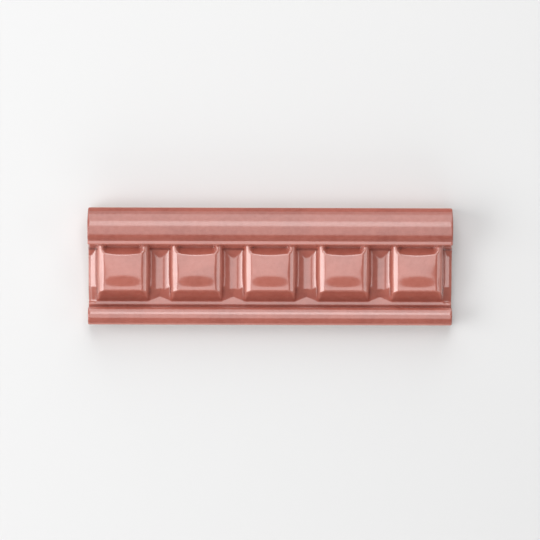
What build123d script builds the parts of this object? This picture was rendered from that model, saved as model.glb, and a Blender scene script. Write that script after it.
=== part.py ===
from build123d import *
from math import atan2, cos, degrees, hypot, sin, sqrt
import os

os.makedirs("parts", exist_ok=True)

# Glazed dentil moulding tile, pressed in one piece: a roll along the top, a course of square
# dentils parted by flutes, and a bead along the bottom. Millimetres. X runs along the tile,
# +Y towards the roll, +Z out of the face. Z = 0 is the bedding face on the back.

# Overall size
length = 152.0
height = 49.0
projection = 18.0

# Roll along the top edge, and the narrow fillet strip below it
roll_upper_radius = 9.15
roll_lower_radius = 6.6
fillet_level = 16.1
fillet_width = 1.7
fillet_wall_draft = 1.1

# Dentil course: how many, the joint that the spacing runs on across, and the section of one dentil
dentil_count = 5
grout_joint = 1.5
groove_level = 11.6
upper_bevel_width = 3.0
face_upper_level = 14.3
face_lower_level = 12.9
face_crown = 0.25
lower_bevel_width = 4.8

# Ledge below the course, quirk and bead
ledge_level = 6.0
ledge_width = 1.4
quirk_level = 5.2
quirk_width = 1.1
bead_width = 7.4
bead_radius = 4.4
bead_crest = 11.6

# Gap between two dentils: bevelled sides with steep walls below them, and a flute along its floor.
# Under the fillet the flute starts with a wall and a scoop, and it dips to the ledge at its far end.
gap_at_face = 14.8
side_bevel_width = 2.6
side_bevel_depth = 1.4
flute_depth = 5.4
flute_width = 8.8
flute_radius = 8.5
flute_runout = 3.0
gap_wall_depth = 1.6
gap_wall_draft = 1.05
scoop_radius = 15.0
scoop_bite = 0.1

# Softened arrises, and the key on the back
face_round = 0.5
strip_round = 0.6
end_round = 0.5
key_groove_count = 4
key_groove_width = 3.0
key_groove_depth = 0.9
key_groove_pitch = 9.5
key_margin = 8.0

# Section, worked out from the top edge down and from the bottom edge up
top_edge = height / 2
bottom_edge = -height / 2
roll_crest = (top_edge - roll_upper_radius, projection)
roll_shoulder = (top_edge, projection - roll_upper_radius)
roll_lower_centre = (roll_crest[0], projection - roll_lower_radius)
roll_foot_rise = fillet_level - roll_lower_centre[1]
roll_foot = (roll_crest[0] - sqrt(roll_lower_radius**2 - roll_foot_rise**2), fillet_level)
roll_foot_angle = degrees(atan2(roll_foot_rise, roll_foot[0] - roll_lower_centre[0]))
fillet_arris = (roll_foot[0] - fillet_width, fillet_level)
groove = (fillet_arris[0] - fillet_wall_draft, groove_level)
face_upper = (groove[0] - upper_bevel_width, face_upper_level)

bead_top = (bottom_edge + bead_width / 2, bead_crest)
bead_side_level = bead_crest - bead_radius + sqrt(bead_radius**2 - (bead_width / 2) ** 2)
bead_lower_side = (bottom_edge, bead_side_level)
bead_upper_side = (bottom_edge + bead_width, bead_side_level)
quirk = (bead_upper_side[0], quirk_level)
ledge_nose = (quirk[0] + quirk_width, ledge_level)
ledge_foot = (ledge_nose[0] + ledge_width, ledge_level)
face_lower = (ledge_foot[0] + lower_bevel_width, face_lower_level)

# The moulding before its gaps are cut, with the arrises of its ends and of its strips softened
with BuildPart() as moulding:
    with BuildSketch(Plane.YZ) as section:
        with BuildLine():
            Line((bottom_edge, 0), bead_lower_side)
            ThreePointArc(bead_lower_side, bead_top, bead_upper_side)
            Polyline(bead_upper_side, quirk, ledge_nose, ledge_foot, face_lower)
            SagittaArc(face_lower, face_upper, -face_crown)
            Polyline(face_upper, groove, fillet_arris, roll_foot)
            CenterArc(roll_lower_centre, roll_lower_radius, roll_foot_angle, 90 - roll_foot_angle)
            CenterArc((roll_crest[0], roll_shoulder[1]), roll_upper_radius, 90, -90)
            Polyline(roll_shoulder, (top_edge, 0), (bottom_edge, 0))
        make_face()
        corners = section.vertices()
        arrises = (fillet_arris, ledge_nose, bead_lower_side, bead_upper_side)
        fillet([corners.sort_by_distance(arris)[0] for arris in arrises], radius=strip_round)
    extrude(amount=length / 2, both=True)
    end_edges = moulding.faces().filter_by(Axis.X).edges()
    fillet(end_edges.filter_by_position(Axis.Z, 0, projection, inclusive=(False, True)), radius=end_round)

# Cutter for one gap: one section, run along the lean of the dentil faces and again down the run-out
face_lean = atan2(face_upper[1] - face_lower[1], face_upper[0] - face_lower[0])
face_length = hypot(face_upper[0] - face_lower[0], face_upper[1] - face_lower[1])
along_face = Vector(0, -cos(face_lean), -sin(face_lean))
out_of_face = Vector(0, -sin(face_lean), cos(face_lean))
face_top = Vector(0, *face_upper)
floor_end = face_top + along_face * face_length - out_of_face * flute_depth
runout_foot = Vector(0, floor_end.Y - flute_runout, ledge_level)
down_runout = (runout_foot - floor_end).normalized()
out_of_runout = Vector(0, down_runout.Z, -down_runout.Y)
runout_start = floor_end + (out_of_runout - down_runout) * flute_depth

flute_side_rise = flute_radius - sqrt(flute_radius**2 - (flute_width / 2) ** 2)
flute_side = (flute_width / 2, flute_side_rise - flute_depth)
bevel_foot = (gap_at_face / 2 - side_bevel_width, -side_bevel_depth)
bevel_clear = 2.0
mouth = (gap_at_face / 2 + bevel_clear * side_bevel_width / side_bevel_depth, bevel_clear)


def gap_section(*side):
    with BuildSketch(Plane.XY) as section:
        with BuildLine():
            right_side = Polyline((0, bevel_clear), *side, flute_side)
            left_side = mirror(right_side, about=Plane.YZ)
            ThreePointArc(right_side @ 1, (0, -flute_depth), left_side @ 1)
        make_face()
    return section.sketch


# Side view of a gap: the wall and the scoop below the fillet, and the ledge. The scoop bites a
# little deeper than the flute, and the flute's own section makes the floor between the two.
wall_foot = Vector(0, groove[0] - gap_wall_draft, groove_level - gap_wall_depth)
wall_foot_out = (wall_foot - face_top).dot(out_of_face)
scoop_centre_out = scoop_radius - flute_depth - scoop_bite
scoop_reach = sqrt(scoop_radius**2 - (scoop_centre_out - wall_foot_out) ** 2)
scoop_centre_along = (wall_foot - face_top).dot(along_face) + scoop_reach
scoop_centre = face_top + along_face * scoop_centre_along + out_of_face * scoop_centre_out
scoop_end = scoop_centre - out_of_face * scoop_radius
scoop_middle = scoop_centre + ((wall_foot + scoop_end) * 0.5 - scoop_centre).normalized() * scoop_radius
course_end = (ledge_foot[0] + ledge_nose[0]) / 2
course_width = groove[0] - course_end

with BuildPart() as gap_cutter:
    with BuildSketch(Plane(face_top - along_face * course_width, x_dir=(1, 0, 0), z_dir=along_face)):
        add(gap_section(mouth, bevel_foot))
    extrude(amount=2 * course_width)
    with BuildSketch(Plane(runout_start, x_dir=(1, 0, 0), z_dir=down_runout)):
        add(gap_section((bevel_foot[0], bevel_clear), bevel_foot))
    extrude(amount=course_width)
    with BuildSketch(Plane.YZ):
        with BuildLine():
            side_points = (wall_foot, scoop_middle, scoop_end)
            wall_base, scoop_low, scoop_tip = [(point.Y, point.Z) for point in side_points]
            ThreePointArc(wall_base, scoop_low, scoop_tip)
            Polyline(
                scoop_tip,
                (scoop_tip[0], ledge_level),
                (course_end, ledge_level),
                (course_end, projection),
                (groove[0], projection),
                groove,
                wall_base,
            )
        make_face()
    extrude(amount=mouth[0], both=True, mode=Mode.INTERSECT)

# The tile: gaps cut across the moulding, key pressed into the back, dentil faces softened
dentil_pitch = (length + grout_joint) / dentil_count
course_reach = (length - gap_at_face) / 2
key_groove_length = length - 2 * key_margin

with BuildPart() as dentil_tile:
    add(moulding.part)
    with GridLocations(dentil_pitch, 0, dentil_count + 1, 1):
        add(gap_cutter.part, mode=Mode.SUBTRACT)
    with BuildSketch(Plane.XY):
        with GridLocations(0, key_groove_pitch, 1, key_groove_count):
            SlotOverall(key_groove_length, key_groove_width)
    extrude(amount=key_groove_depth, mode=Mode.SUBTRACT)
    round_faces = dentil_tile.faces().filter_by(GeomType.CYLINDER)
    at_face_level = round_faces.filter_by_position(Axis.Z, face_lower_level, face_upper_level + face_crown)
    dentil_faces = at_face_level.filter_by_position(Axis.X, -course_reach, course_reach)
    fillet(dentil_faces.edges(), radius=face_round)

dentil_tile.part.label = "dentil_tile"
export_step(dentil_tile.part, "parts/dentil_tile.step")
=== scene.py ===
import bpy
import math
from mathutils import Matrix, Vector


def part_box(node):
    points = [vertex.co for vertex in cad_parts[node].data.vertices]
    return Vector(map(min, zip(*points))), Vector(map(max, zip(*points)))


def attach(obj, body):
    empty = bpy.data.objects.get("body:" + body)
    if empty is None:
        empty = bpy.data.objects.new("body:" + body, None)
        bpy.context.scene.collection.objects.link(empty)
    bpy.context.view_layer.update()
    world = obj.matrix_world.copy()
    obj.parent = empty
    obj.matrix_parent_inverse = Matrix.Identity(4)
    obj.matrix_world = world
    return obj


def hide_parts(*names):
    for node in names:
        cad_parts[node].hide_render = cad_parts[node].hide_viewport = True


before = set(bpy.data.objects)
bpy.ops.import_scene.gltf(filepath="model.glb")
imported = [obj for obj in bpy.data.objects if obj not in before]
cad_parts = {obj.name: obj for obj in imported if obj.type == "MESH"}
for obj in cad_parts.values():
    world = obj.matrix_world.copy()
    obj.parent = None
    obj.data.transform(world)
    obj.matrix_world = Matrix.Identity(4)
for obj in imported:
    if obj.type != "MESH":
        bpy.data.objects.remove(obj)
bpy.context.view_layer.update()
print("frame loaded", list(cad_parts))

mm = 0.001
touch = 0.01                    # millimetres: nearer than this counts as on the line
smoothFactor = 0.5
tileLow, tileHigh = [Vector(corner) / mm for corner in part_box("dentil_tile")]
tileLength, tileHeight, tileDepth = tileHigh - tileLow


def pickOnly(piece):
    bpy.ops.object.select_all(action="DESELECT")
    piece.select_set(True)
    bpy.context.view_layer.objects.active = piece


def addModifier(piece, kind, **settings):
    pickOnly(piece)
    bpy.ops.object.modifier_add(type=kind)
    modifier = piece.modifiers[-1]
    for name, value in settings.items():
        setattr(modifier, name, value)
    bpy.ops.object.modifier_apply(modifier=modifier.name)


def setGroup(piece, name, weightOf):
    group = piece.vertex_groups.new(name=name)
    for vertex in piece.data.vertices:
        weight = weightOf(vertex.co / mm)
        if weight > 0:
            group.add([vertex.index], weight, "REPLACE")
    return name


def pickVertices(piece, wanted):
    bpy.ops.object.mode_set(mode="EDIT")
    bpy.ops.mesh.select_mode(type="VERT")
    bpy.ops.mesh.select_all(action="DESELECT")
    bpy.ops.object.mode_set(mode="OBJECT")
    for vertex in piece.data.vertices:
        vertex.select = wanted(vertex.co / mm)
    bpy.ops.object.mode_set(mode="EDIT")


# Section of the moulding in millimetres, from the bead at the bottom edge to the roll at the top
moulding = {
    "rollUpperRadius": 9.15,
    "rollCrownRadius": 10.7,    # from its crest down to the fillet the roll is flat at first,
    "rollCrownTurn": 14.0,      # and then turns down tighter
    "rollFootRadius": 4.0,
    "rollLowerRadius": 6.6,
    "filletLevel": 16.1,
    "filletWidth": 1.7,
    "wallDraft": 1.1,
    "grooveLevel": 11.6,
    "upperBevel": 3.0,
    "faceUpperLevel": 14.3,
    "faceLowerLevel": 12.9,
    "lowerBevel": 4.8,
    "ledgeLevel": 6.0,
    "ledgeWidth": 1.4,
    "quirkLevel": 5.2,
    "quirkWidth": 1.1,
    "beadWidth": 7.4,
    "beadRadius": 4.4,
    "beadCrest": 11.6,
    "rowStep": 0.35,            # spacing of the rows round the section
    "edgeStep": 2.0,            # the same up the plain edges
    "softenPasses": 3,
    "softenMargin": 0.3,        # how far past the course the softening reaches, into quirk and roll
    "smoothAngle": 70.0,
}

topEdge = tileHeight / 2
rollY = topEdge - moulding["rollUpperRadius"]
rollFootRise = moulding["filletLevel"] - tileDepth + moulding["rollLowerRadius"]
rollFootTurn = math.acos(rollFootRise / moulding["rollLowerRadius"])
rollFootY = rollY - moulding["rollLowerRadius"] * math.sin(rollFootTurn)
filletY = rollFootY - moulding["filletWidth"]
grooveY = filletY - moulding["wallDraft"]
faceUpperY = grooveY - moulding["upperBevel"]
beadY = moulding["beadWidth"] / 2 - topEdge
beadTurn = math.asin(moulding["beadWidth"] / 2 / moulding["beadRadius"])
beadSideZ = moulding["beadCrest"] - moulding["beadRadius"] * (1 - math.cos(beadTurn))
quirkY = beadY + moulding["beadWidth"] / 2
noseY = quirkY + moulding["quirkWidth"]
ledgeY = noseY + moulding["ledgeWidth"]
faceLowerY = ledgeY + moulding["lowerBevel"]


def drawSection():
    start = Vector((0, -topEdge, 0))
    bpy.ops.mesh.primitive_plane_add(size=mm, location=start * mm)
    sheet = bpy.context.object
    bpy.ops.object.mode_set(mode="EDIT")
    bpy.ops.mesh.select_mode(type="VERT")
    bpy.ops.mesh.select_all(action="SELECT")
    bpy.ops.mesh.merge(type="CENTER")
    place = start

    def runTo(y, z, step=moulding["rowStep"]):
        nonlocal place
        run = Vector((0, y, z)) - place
        pieces = max(1, round(run.length / step))
        for _ in range(pieces):
            bpy.ops.mesh.extrude_region_move(TRANSFORM_OT_translate={"value": run * mm / pieces})
        place = Vector((0, y, z))

    def turnAbout(y, z, angle):
        nonlocal place
        centre = Vector((0, y, z))
        arm = place - centre
        pieces = round(arm.length * angle / moulding["rowStep"])
        bpy.ops.mesh.spin(steps=pieces, angle=angle, center=centre * mm, axis=(1, 0, 0))
        c, s = math.cos(angle), math.sin(angle)
        place = centre + Vector((0, arm.y * c + arm.z * s, arm.z * c - arm.y * s))

    runTo(-topEdge, beadSideZ, moulding["edgeStep"])
    turnAbout(beadY, moulding["beadCrest"] - moulding["beadRadius"], 2 * beadTurn)
    runTo(quirkY, moulding["quirkLevel"])
    runTo(noseY, moulding["ledgeLevel"])
    runTo(ledgeY, moulding["ledgeLevel"])
    runTo(faceLowerY, moulding["faceLowerLevel"])
    runTo(faceUpperY, moulding["faceUpperLevel"])
    runTo(grooveY, moulding["grooveLevel"])
    runTo(filletY, moulding["filletLevel"])
    runTo(rollFootY, moulding["filletLevel"])
    crownTurn = math.radians(moulding["rollCrownTurn"])
    shift = moulding["rollCrownRadius"] - moulding["rollFootRadius"]
    footCentreY = rollY - shift * math.sin(crownTurn)
    footCentreZ = tileDepth - moulding["rollCrownRadius"] + shift * math.cos(crownTurn)
    footTurn = math.asin((footCentreY - rollFootY) / moulding["rollFootRadius"])
    runTo(rollFootY, footCentreZ + moulding["rollFootRadius"] * math.cos(footTurn))
    turnAbout(footCentreY, footCentreZ, footTurn - crownTurn)
    turnAbout(rollY, tileDepth - moulding["rollCrownRadius"], crownTurn)
    turnAbout(rollY, tileDepth - moulding["rollUpperRadius"], math.pi / 2)
    runTo(topEdge, 0, moulding["edgeStep"])
    bpy.ops.object.mode_set(mode="OBJECT")
    return sheet


# Dentil course: what one gap between two dentils takes out of the section, in millimetres
course = {
    "dentils": 5,
    "groutJoint": 1.5,          # the spacing runs on across this joint to the next tile
    "columnsPerDentil": 80,
    "gapAtFace": 14.8,
    "bevelWidth": 2.6,
    "bevelDepth": 1.4,
    "fluteDepth": 5.4,
    "fluteWidth": 8.8,
    "fluteRadius": 8.5,
    "fluteRunout": 3.4,
    "wallDepth": 1.6,           # wall under the fillet at the top of each gap, above the scoop
    "wallDraft": 1.05,
    "scoopRadius": 15.0,
    "scoopBite": 0.1,
    "tentSlope": 0.41,          # the ledge reaches up into each gap as a tent with these sides
    "cornerWidth": 2.0,         # the side bevels run up to the fillet, past the upper bevel
    "endFall": 3.25,            # the two half flutes fall away towards the ends of the tile
    "endFallAngle": 27.0,
    "arrisDip": 0.4,            # the upper and lower arrises of a face lie this much lower down,
    "arrisBow": 0.8,            # and the upper one runs this much nearer the fillet at its corners
    "arrisReach": 3.0,
    "cushion": 1.0,             # how far each face swells in its middle
    "cushionAtSides": 0.42,     # and how much of that is left at its two sides
    "cushionFoot": 0.93,        # a narrow lip is left below it
    "endRound": 0.7,
    "endRoundSteps": 4,
    "endInset": 0.3,
    "weldWithin": 0.005,
    "reliefPasses": 60,
    "reliefFrom": 0.02,         # the end faces and the bed have none
}

pitch = (tileLength + course["groutJoint"]) / course["dentils"]
columnWidth = pitch / course["columnsPerDentil"]
columns = 2 * int((tileLength / 2 - course["endRound"]) / columnWidth)
sheetEnd = columns * columnWidth / 2
faceRise = moulding["faceUpperLevel"] - moulding["faceLowerLevel"]
faceRun = faceUpperY - faceLowerY
lean = math.atan2(faceRise, faceRun)
halfFlute = course["fluteWidth"] / 2
halfFace = pitch / 2 - course["gapAtFace"] / 2
bevelFoot = course["gapAtFace"] / 2 - course["bevelWidth"]
floorEndY = faceLowerY + course["fluteDepth"] * math.sin(lean)
floorEndZ = moulding["faceLowerLevel"] - course["fluteDepth"] * math.cos(lean)
dip = math.atan2(floorEndZ - moulding["ledgeLevel"], course["fluteRunout"])

# The scoop's circle passes through the foot of the wall and bites just below the flute's floor
wallFootY = grooveY - course["wallDraft"]
wallFootZ = moulding["grooveLevel"] - course["wallDepth"]
wallAlong = wallFootY - faceUpperY
wallRise = wallFootZ - moulding["faceUpperLevel"]
wallFootUp = wallAlong * math.cos(lean) + wallRise * math.sin(lean)
wallFootOut = wallRise * math.cos(lean) - wallAlong * math.sin(lean)
scoopOut = course["scoopRadius"] - course["fluteDepth"] - course["scoopBite"]
scoopUp = wallFootUp - math.sqrt(course["scoopRadius"] ** 2 - (scoopOut - wallFootOut) ** 2)
scoopY = faceUpperY + scoopUp * math.cos(lean) - scoopOut * math.sin(lean)
scoopZ = moulding["faceUpperLevel"] + scoopUp * math.sin(lean) + scoopOut * math.cos(lean)


def fromDentil(x):
    return abs((x + pitch / 2) % pitch - pitch / 2)


# Depth of a gap's section below the faces, at a distance from the gap's middle
def gapDepth(u):
    if u > bevelFoot:
        return course["bevelDepth"] * (course["gapAtFace"] / 2 - u) / course["bevelWidth"]
    across = min(u, halfFlute)
    arc = course["fluteDepth"] - course["fluteRadius"] + math.sqrt(course["fluteRadius"] ** 2 - across ** 2)
    down = (bevelFoot - max(u, halfFlute)) / (bevelFoot - halfFlute)
    return course["bevelDepth"] + (arc - course["bevelDepth"]) * down


def pressGap(x, y):
    u = pitch / 2 - fromDentil(x)
    depth = gapDepth(u)
    floor = moulding["faceUpperLevel"] + (y - faceUpperY) * math.tan(lean) - depth / math.cos(lean)
    if u < bevelFoot:
        floor = min(floor, floorEndZ + (y - floorEndY + course["tentSlope"] * u) * math.tan(dip))
    floor = max(floor, moulding["ledgeLevel"])
    if y > wallFootY:
        wall = wallFootZ + (y - wallFootY) * course["wallDepth"] / course["wallDraft"]
        return max(floor, wall)
    if y > scoopY:
        return max(floor, scoopZ - math.sqrt(course["scoopRadius"] ** 2 - (y - scoopY) ** 2))
    return floor


def runSection():
    sheet = drawSection()
    pickOnly(sheet)
    bpy.ops.object.mode_set(mode="EDIT")
    bpy.ops.mesh.select_all(action="SELECT")
    bpy.ops.transform.translate(value=(-sheetEnd * mm, 0, 0))
    bpy.ops.mesh.extrude_region_move(TRANSFORM_OT_translate={"value": (columnWidth * mm, 0, 0)})
    bpy.ops.object.mode_set(mode="OBJECT")
    bpy.ops.object.transform_apply()
    addModifier(sheet, "ARRAY", count=columns, use_relative_offset=False, use_constant_offset=True,
                constant_offset_displace=(columnWidth * mm, 0, 0), use_merge_vertices=True,
                merge_threshold=columnWidth * mm / 10)
    print("section drawn and run along the tile:", len(sheet.data.vertices), "points")
    return sheet


# New height of a point in the course, or its old one where no gap reaches it
def pressPoint(x, y, z):
    aside = fromDentil(x)
    pressed = min(z, pressGap(x, y)) if y < grooveY + touch else z
    if y > faceUpperY and aside < pitch / 2 - halfFlute:
        corner = min(1, max(0, (aside - halfFace) / course["cornerWidth"] + 0.5))
        pressed += max(0, pressGap(x, y) - pressed) * corner
    fallStart = tileLength / 2 - course["endFall"]
    if y < faceUpperY and aside > halfFace and abs(x) > fallStart:
        fallen = (abs(x) - fallStart) * math.tan(math.radians(course["endFallAngle"]))
        pressed = min(pressed, pressGap(fallStart, y) - fallen)
    return pressed


# How far a point at a face's upper or lower arris moves up the tile
def bowPoint(x, y):
    if fromDentil(x) > halfFace + course["bevelWidth"]:
        return 0
    reach = moulding["upperBevel"] if y > faceUpperY else course["arrisReach"]
    upper = max(0, 1 - abs(y - faceUpperY) / reach)
    lower = max(0, 1 - abs(y - faceLowerY) / course["arrisReach"])
    toSide = min(1, fromDentil(x) / halfFace) ** 2
    return (course["arrisBow"] * toSide - course["arrisDip"]) * upper - course["arrisDip"] * lower


def pressGaps(sheet):
    courseEnd = (ledgeY + noseY) / 2
    for vertex in sheet.data.vertices:
        x, y, z = vertex.co / mm
        if courseEnd < y < filletY:
            vertex.co.z = pressPoint(x, y, z) * mm
            vertex.co.y = (y + bowPoint(x, y)) * mm

    low = quirkY - moulding["softenMargin"]
    high = rollFootY + moulding["softenMargin"]
    soften = setGroup(sheet, "soften", lambda p: 1.0 if low < p.y < high else 0.0)
    addModifier(sheet, "SMOOTH", factor=smoothFactor, iterations=moulding["softenPasses"], use_x=False,
                vertex_group=soften)


# Swell of a dentil's face: whole in its middle, level with the arrises above and below
def swell(p):
    aside = fromDentil(p.x)
    v = (p.y - (faceUpperY + faceLowerY) / 2) / (faceRun / 2)
    if v < 0:
        v /= course["cushionFoot"]
    if abs(v) > 1:
        return 0
    across = 1 - (1 - course["cushionAtSides"]) * (aside / halfFace) ** 2
    if aside > halfFace:
        down = (pitch / 2 - aside - halfFlute) / (bevelFoot - halfFlute)
        across = course["cushionAtSides"] * min(1, down)
    return across * (1 - (5 * v ** 2 - 2 * abs(v) ** 5) / 3)


def swellFaces(sheet):
    cushion = setGroup(sheet, "cushion", swell)
    addModifier(sheet, "DISPLACE", direction="Z", mid_level=0.0, strength=course["cushion"] * mm,
                vertex_group=cushion)
    print("gaps pressed in, arrises softened, faces swelled")


# Ends rounded over and filled, and the bed filled
def closeTile(sheet):
    pickVertices(sheet, lambda p: True)
    bpy.ops.mesh.normals_make_consistent(inside=False)
    bpy.ops.object.mode_set(mode="OBJECT")
    turn = math.pi / 2 / course["endRoundSteps"]
    for side in (-1, 1):
        pickVertices(sheet, lambda p: p.x * side > sheetEnd - columnWidth / 2)
        for number in range(course["endRoundSteps"]):
            out = math.sin((number + 1) * turn) - math.sin(number * turn)
            down = math.cos(number * turn) - math.cos((number + 1) * turn)
            toEnd = (tileLength / 2 - sheetEnd) * out
            bpy.ops.mesh.extrude_region_move(TRANSFORM_OT_translate={"value": (side * toEnd * mm, 0, 0)})
            bpy.ops.transform.shrink_fatten(value=-course["endInset"] * down * mm)
        bpy.ops.mesh.edge_face_add()
        bpy.ops.object.mode_set(mode="OBJECT")
    pickVertices(sheet, lambda p: p.z < touch)
    bpy.ops.mesh.edge_face_add()
    bpy.ops.mesh.select_all(action="SELECT")
    bpy.ops.mesh.remove_doubles(threshold=course["weldWithin"] * mm)
    bpy.ops.mesh.normals_make_consistent(inside=False)
    bpy.ops.object.mode_set(mode="OBJECT")


# Shallow key pressed into the back, so that the adhesive holds
key = {
    "grooves": 4,
    "width": 3.0,
    "depth": 0.9,
    "pitch": 9.5,
    "margin": 8.0,
    "endSegments": 6,
}


def pressKey(piece):
    for number in range(key["grooves"]):
        y = (number - (key["grooves"] - 1) / 2) * key["pitch"]
        bpy.ops.object.select_all(action="DESELECT")
        bpy.ops.mesh.primitive_cube_add(size=mm, location=(0, y * mm, 0))
        bar = bpy.context.object
        bpy.ops.object.mode_set(mode="EDIT")
        bpy.ops.transform.resize(value=(tileLength - 2 * key["margin"], key["width"], 2 * key["depth"]))
        bpy.ops.mesh.select_mode(type="EDGE")
        bpy.ops.mesh.select_all(action="DESELECT")
        bpy.ops.object.mode_set(mode="OBJECT")
        bpy.ops.object.transform_apply()
        for edge in bar.data.edges:
            foot, head = [bar.data.vertices[v].co for v in edge.vertices]
            edge.select = abs(foot.z - head.z) > key["depth"] * mm
        bpy.ops.object.mode_set(mode="EDIT")
        bpy.ops.mesh.bevel(offset=key["width"] / 2 * mm, segments=key["endSegments"], clamp_overlap=True)
        bpy.ops.object.mode_set(mode="OBJECT")
        addModifier(piece, "BOOLEAN", object=bar, operation="DIFFERENCE", solver="EXACT")
        bpy.data.objects.remove(bar)


# How far each point lies below (+) or above (-) the smoothed surface, in millimetres: the glaze pools in the
# hollows, which are also darkened as painted shade, and runs thin over the arrises
def markRelief(piece):
    pickOnly(piece)
    bpy.ops.object.duplicate()
    worn = bpy.context.object
    addModifier(worn, "SMOOTH", factor=smoothFactor, iterations=course["reliefPasses"])
    relief = [(b.co.z - a.co.z) / mm for a, b in zip(piece.data.vertices, worn.data.vertices)]
    for vertex in piece.data.vertices:
        toEnd = tileLength / 2 - abs(vertex.co.x) / mm
        if min(toEnd, vertex.co.z / mm) < course["reliefFrom"]:
            relief[vertex.index] = 0
    piece.data.attributes.new("relief", "FLOAT", "POINT").data.foreach_set("value", relief)
    bpy.data.objects.remove(worn)
    print("relief from", round(min(relief), 2), "to", round(max(relief), 2))


tile = runSection()
tile.name = tile.data.name = "tile_glazed"
pressGaps(tile)
swellFaces(tile)
closeTile(tile)
pressKey(tile)
markRelief(tile)
pickOnly(tile)
bpy.ops.object.shade_smooth_by_angle(angle=math.radians(moulding["smoothAngle"]))
print("tile", len(tile.data.polygons), "faces", [round(v / mm, 3) for v in tile.dimensions])


# A socket that takes part in Python sums: 1 - mask * 0.4 adds its Math nodes
class Shade:
    def __init__(self, tree, socket=None):
        self.tree = tree
        self.socket = socket

    def node(self, kind, settings=None, inputs=None, output=None):
        node = self.tree.nodes.new("ShaderNode" + kind)
        for name, value in (settings or {}).items():
            setattr(node, name, value)
        live = [socket for socket in node.inputs if socket.enabled]
        for name, value in (inputs or {}).items():
            socket = live[name] if isinstance(name, int) else next(s for s in live if s.name == name)
            if isinstance(value, Shade):
                self.tree.links.new(value.socket, socket)
            elif socket.type == "RGBA":
                socket.default_value = (*value, 1.0)
            else:
                socket.default_value = value
        outputs = [socket for socket in node.outputs if socket.enabled and output in (None, socket.name)]
        return Shade(self.tree, outputs[0] if outputs else None)

    def math(self, operation, *values):
        return self.node("Math", {"operation": operation}, dict(enumerate(values)))

    def __add__(self, other):
        return self.math("ADD", self, other)

    def __sub__(self, other):
        return self.math("SUBTRACT", self, other)

    def __mul__(self, other):
        return self.math("MULTIPLY", self, other)

    def __truediv__(self, other):
        return self.math("DIVIDE", self, other)

    def __radd__(self, other):
        return self.math("ADD", other, self)

    def __rsub__(self, other):
        return self.math("SUBTRACT", other, self)

    def __rmul__(self, other):
        return self.math("MULTIPLY", other, self)

    # 0 below the band and 1 above it, with the band's two limits taken from a level
    def above(self, band, level=0.0):
        limits = {1: level + band[0], 2: level + band[1]}
        return self.node("MapRange", {"interpolation_type": "SMOOTHSTEP"}, {0: self, **limits})

    def below(self, band, level=0.0):
        return 1 - self.above(band, level)

    def mix(self, first, second):
        return self.node("Mix", {"data_type": "RGBA"}, {"Factor": self, "A": first, "B": second})


def newMaterial(name):
    material = bpy.data.materials.new(name)
    material.use_nodes = True
    material.node_tree.nodes.clear()
    return material, Shade(material.node_tree)


# Unevenness: size in millimetres, the band of the noise that counts, and how much of it shows,
# as a share of the other colour or as a height in millimetres
noises = {
    "clouds": {"size": 14.0, "detail": 3.0, "band": (0.4, 0.7), "share": 0.2},
    "mottle": {"size": 2.2, "detail": 3.0, "band": (0.3, 0.7), "share": 0.15},
    "specks": {"size": 0.35, "detail": 1.0, "band": (0.66, 0.74), "share": 0.3},
    "ripple": {"size": 6.0, "detail": 2.0, "rise": 0.06},
    "pimples": {"size": 0.9, "detail": 2.0, "rise": 0.006},
    "grit": {"size": 0.5, "detail": 4.0, "roughness": 0.7, "band": (0.55, 0.7), "share": 0.5, "rise": 0.12},
    "stains": {"size": 18.0, "detail": 4.0, "band": (0.45, 0.7), "share": 1.0},
    "wander": {"size": 9.0, "detail": 3.0},
}


def noiseOf(shade, place, name):
    noise = noises[name]
    inputs = {"Vector": place, "Scale": 1 / (noise["size"] * mm), "Detail": noise["detail"],
              "Roughness": noise.get("roughness", 0.5)}
    return shade.node("TexNoise", {}, inputs)


def patches(shade, name):
    return shade.above(noises[name]["band"]) * noises[name]["share"]


glaze = {
    "base": (0.415, 0.118, 0.086),
    "deep": (0.15, 0.028, 0.020),       # where it pools thick, and as painted shade in the hollows and under the fillet
    "thin": (0.58, 0.22, 0.17),         # where it breaks over an arris
    "roughness": 0.18,
    "roughnessMottle": 0.06,
    "specular": 0.5,
    "coat": 1.0,
    "coatRoughness": 0.14,
    "coatIor": 1.7,
    "hollows": (0.4, 1.3),              # relief at which it pools and painted shade is laid, and the share of deep colour there
    "hollowPoolAndShade": 0.7,
    "arrises": (-0.5, -0.12),           # relief at which it runs thin
    "arrisThin": 0.5,
    "stripEdge": (-0.5, 0.5),           # the roll and the bead are deeper in colour, and duller
    "rollLevels": (9.0, 15.0),
    "rollDeep": 0.3,
    "rollDull": 0.45,
    "beadLevels": (4.0, 9.0),
    "beadDeep": 0.15,
    "beadDull": 0.25,
    "nicheFoot": (-0.5, 0.2),           # painted shade on the wall at the top of each gap, under the fillet
    "nicheTop": (-0.8, 0.4),
    "nicheBack": (0.0, 0.3),
    "nicheEnds": (-0.4, -0.1),
    "underFilletShadeShare": 0.8,
    "lipWidth": 1.7,                    # a lip along the top edge is wiped thin and dry
    "lipEdge": (0.0, 0.5),
    "lipMottle": 0.4,
    "lipRoughness": 0.55,
    "lipSpecular": 0.1,
    "edgeLevel": 1.2,                   # the glaze stops this far above the bed
    "edgeBand": (-0.1, 0.1),
    "edgeWander": 1.6,
}
biscuit = {
    "base": (0.66, 0.50, 0.40),
    "stained": (0.50, 0.33, 0.25),
    "roughness": 0.9,
}


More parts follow.
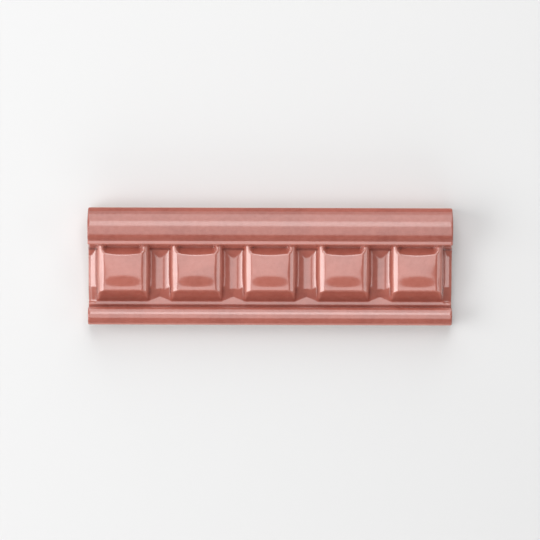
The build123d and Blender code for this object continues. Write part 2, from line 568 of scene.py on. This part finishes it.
def makeGlaze():
    material, shade = newMaterial("red_glaze")
    place = shade.node("TexCoord", {}, {}, "Object")
    along, across, up = [shade.node("SeparateXYZ", {}, {"Vector": place}, axis) / mm for axis in "XYZ"]
    relief = shade.node("Attribute", {"attribute_name": "relief"}, {}, "Fac")

    clouds = noiseOf(shade, place, "clouds")
    mottle = noiseOf(shade, place, "mottle")
    specks = noiseOf(shade, place, "specks")
    onRoll = across.above(glaze["stripEdge"], rollFootY) * up.above(glaze["rollLevels"])
    onBead = across.below(glaze["stripEdge"], quirkY) * up.above(glaze["beadLevels"])
    # deeper colour in the hollows: partly glaze pooling, partly painted shade
    poolingAndShade = relief.above(glaze["hollows"])
    worn = relief.below(glaze["arrises"])
    # painted shade: the wall at the top of each gap is darkened under the fillet
    underFilletShade = across.above(glaze["nicheFoot"], wallFootY) * across.below(glaze["nicheBack"], filletY)
    underFilletShade = underFilletShade * up.below(glaze["nicheTop"], moulding["grooveLevel"])
    underFilletShade = underFilletShade * shade.math("ABSOLUTE", along).below(glaze["nicheEnds"], tileLength / 2)
    colour = (onRoll * glaze["rollDeep"] + onBead * glaze["beadDeep"]).mix(glaze["base"], glaze["deep"])
    # painted shade together with glaze pooling: the hollows take the deep colour
    colour = (poolingAndShade * glaze["hollowPoolAndShade"]).mix(colour, glaze["deep"])
    # painted shade laid on the wall under the fillet
    colour = (underFilletShade * glaze["underFilletShadeShare"]).mix(colour, glaze["deep"])
    colour = patches(clouds, "clouds").mix(colour, glaze["deep"])
    colour = (worn * glaze["arrisThin"]).mix(colour, glaze["thin"])
    colour = patches(mottle, "mottle").mix(colour, glaze["thin"])
    colour = patches(specks, "specks").mix(colour, glaze["deep"])

    ripple = noiseOf(shade, place, "ripple") * noises["ripple"]["rise"]
    pimples = noiseOf(shade, place, "pimples") * noises["pimples"]["rise"]
    surface = shade.node("Bump", {}, {"Strength": 1.0, "Distance": mm, "Height": ripple + pimples})
    glassy = shade.node("BsdfPrincipled", {}, {
        "Base Color": colour,
        "Roughness": glaze["roughness"] + mottle * glaze["roughnessMottle"],
        "Specular IOR Level": glaze["specular"],
        "Coat Weight": glaze["coat"] - glaze["rollDull"] * onRoll - glaze["beadDull"] * onBead,
        "Coat Roughness": glaze["coatRoughness"],
        "Coat IOR": glaze["coatIor"],
        "Normal": surface})
    dry = shade.node("BsdfPrincipled", {}, {
        "Base Color": colour,
        "Roughness": glaze["lipRoughness"],
        "Specular IOR Level": glaze["lipSpecular"],
        "Normal": surface})
    lip = (across + mottle * glaze["lipMottle"]).above(glaze["lipEdge"], topEdge - glaze["lipWidth"])
    glassy = shade.node("MixShader", {}, {"Fac": lip, 1: glassy, 2: dry})

    grit = noiseOf(shade, place, "grit")
    stains = noiseOf(shade, place, "stains")
    clay = patches(stains, "stains").mix(biscuit["base"], biscuit["stained"])
    clay = patches(grit, "grit").mix(clay, biscuit["stained"])
    grain = grit * noises["grit"]["rise"]
    coarse = shade.node("Bump", {}, {"Strength": 1.0, "Distance": mm, "Height": grain})
    bare = shade.node("BsdfPrincipled", {}, {
        "Base Color": clay,
        "Roughness": biscuit["roughness"],
        "Normal": coarse})

    wander = (noiseOf(shade, place, "wander") - 0.5) * glaze["edgeWander"]
    glazed = (up - wander).above(glaze["edgeBand"], glaze["edgeLevel"])
    both = shade.node("MixShader", {}, {"Fac": glazed, 1: bare, 2: glassy})
    shade.node("OutputMaterial", {}, {"Surface": both})
    return material


tile.data.materials.clear()
tile.data.materials.append(makeGlaze())
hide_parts("dentil_tile")
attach(tile, "root")

floorCard = {"size": 6.0, "colour": (0.69, 0.69, 0.69), "roughness": 0.9, "specular": 0.2}

bpy.ops.object.select_all(action="DESELECT")
bpy.ops.mesh.primitive_plane_add(size=floorCard["size"], location=(0, 0, 0))
floor = bpy.context.object
floor.name = "floor"
material, shade = newMaterial("matt_card")
card = shade.node("BsdfPrincipled", {}, {
    "Base Color": floorCard["colour"],
    "Roughness": floorCard["roughness"],
    "Specular IOR Level": floorCard["specular"]})
shade.node("OutputMaterial", {}, {"Surface": card})
floor.data.materials.append(material)

# Soft boxes: place and aim in metres, or straight down with no aim, size in metres, how bright
# their face is, and whether they show in the glaze. The front one only lifts the shadows.
lamps = {
    "overhead": {"place": (-0.03, -0.045, 1.0), "size": (0.74, 0.77), "face": 1.75},
    "overhead_strip": {"place": (0, 0.65, 1.0), "size": (0.45, 0.65), "face": 4.4},
    "top_panel": {"place": (0, 1.0, 0.52), "aim": (0, 0, 0.52), "size": (1.2, 0.95), "face": 2.1},
    "left_panel": {"place": (-1.05, -0.15, 0.74), "aim": (0, -0.1, 0), "size": (1.0, 1.15), "face": 2.2},
    "left_hot_panel": {"place": (-0.95, -0.45, 0.75), "aim": (0, -0.4, 0), "size": (1.4, 0.42), "face": 2.5},
    "right_panel": {"place": (1.16, -0.12, 0.77), "aim": (0, -0.1, 0), "size": (0.8, 0.25), "face": 2.2},
    "front_fill": {"place": (0, -1.0, 0.4), "aim": (0, 0, 0), "size": (1.2, 0.5), "face": 2.0,
                   "shows": False},
}
roomLight = 0.15

for name, lamp in lamps.items():
    place = Vector(lamp["place"])
    aim = Vector(lamp.get("aim", (place.x, place.y, 0)))
    bpy.ops.object.select_all(action="DESELECT")
    facing = (aim - place).to_track_quat("-Z", "Y").to_euler()
    bpy.ops.object.light_add(type="AREA", location=place, rotation=facing)
    light = bpy.context.object
    light.name = name
    light.data.shape = "RECTANGLE"
    light.data.size, light.data.size_y = lamp["size"]
    light.data.energy = math.pi * lamp["size"][0] * lamp["size"][1] * lamp["face"]
    light.visible_camera = False
    light.visible_glossy = lamp.get("shows", True)

world = bpy.data.worlds.new("room")
world.use_nodes = True
background = world.node_tree.nodes["Background"]
background.inputs["Color"].default_value = (1, 1, 1, 1)
background.inputs["Strength"].default_value = roomLight
bpy.context.scene.world = world

# Camera straight above, as far away as the photograph was taken from
view = {"distance": 1.35, "frameWidth": 0.2273, "centre": (-0.00004, -0.0015), "turn": 0.17, "sensor": 36.0}

bpy.ops.object.select_all(action="DESELECT")
eye = (*view["centre"], view["distance"])
bpy.ops.object.camera_add(location=eye, rotation=(0, 0, math.radians(view["turn"])))
camera = bpy.context.object
camera.data.sensor_width = view["sensor"]
camera.data.lens = view["sensor"] * view["distance"] / view["frameWidth"]
bpy.context.scene.camera = camera
bpy.context.scene.view_settings.view_transform = "Standard"
print("staged")
